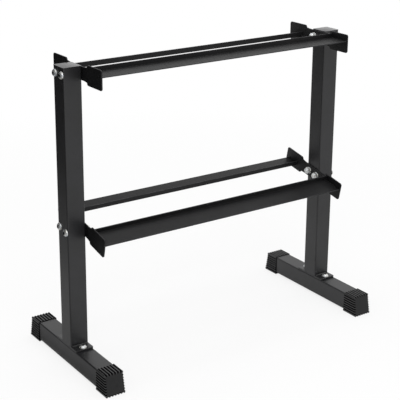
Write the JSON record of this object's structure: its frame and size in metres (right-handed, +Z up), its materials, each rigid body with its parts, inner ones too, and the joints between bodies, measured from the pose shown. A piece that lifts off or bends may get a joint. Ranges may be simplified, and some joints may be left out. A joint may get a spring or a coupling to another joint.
{
  "type": "dumbbell rack",
  "caption": "Free-standing dumbbell rack with a level upper shelf and a forward-tilted lower shelf of bent steel rails between two posts on cross feet with rubber boots.",
  "frame": {"origin": "on the floor, in the middle of the footprint", "axes": "+X along the shelves, towards the right for a user who stands in front, -Y towards that user, +Z up"},
  "size_m": [0.909, 0.427, 0.826],
  "materials": {
    "frame_steel": "satin charcoal powder coat",
    "shelf_steel": "satin black powder coat",
    "boot_rubber": "matte moulded rubber",
    "cap_plastic": "satin moulded plastic",
    "zinc_plate": "bright zinc plating"
  },
  "bodies": {
    "root": {"left_foot_tube": "frame_steel", "right_foot_tube": "frame_steel", "left_front_foot_boot": "boot_rubber", "left_rear_foot_boot": "boot_rubber", "right_front_foot_boot": "boot_rubber", "right_rear_foot_boot": "boot_rubber", "left_base_plate": "frame_steel", "right_base_plate": "frame_steel", "base_welds": "frame_steel", "left_upright": "frame_steel", "right_upright": "frame_steel", "left_post_cap": "cap_plastic", "right_post_cap": "cap_plastic", "upper_left_end_plate": "shelf_steel", "upper_right_end_plate": "shelf_steel", "lower_left_end_plate": "shelf_steel", "lower_right_end_plate": "shelf_steel", "upper_front_rail": "shelf_steel", "upper_rear_rail": "shelf_steel", "lower_front_rail": "shelf_steel", "lower_rear_rail": "shelf_steel", "upper_rail_welds": "shelf_steel", "lower_rail_welds": "shelf_steel", "upper_shelf_screws": "zinc_plate", "lower_shelf_screws": "zinc_plate", "upper_head_washers": "zinc_plate", "lower_head_washers": "zinc_plate", "upper_nut_washers": "zinc_plate", "lower_nut_washers": "zinc_plate", "upper_lock_nuts": "zinc_plate", "lower_lock_nuts": "zinc_plate", "base_screws": "zinc_plate", "base_washers": "zinc_plate", "foot_weld_nuts": "zinc_plate"}
  },
  "joints": []
}
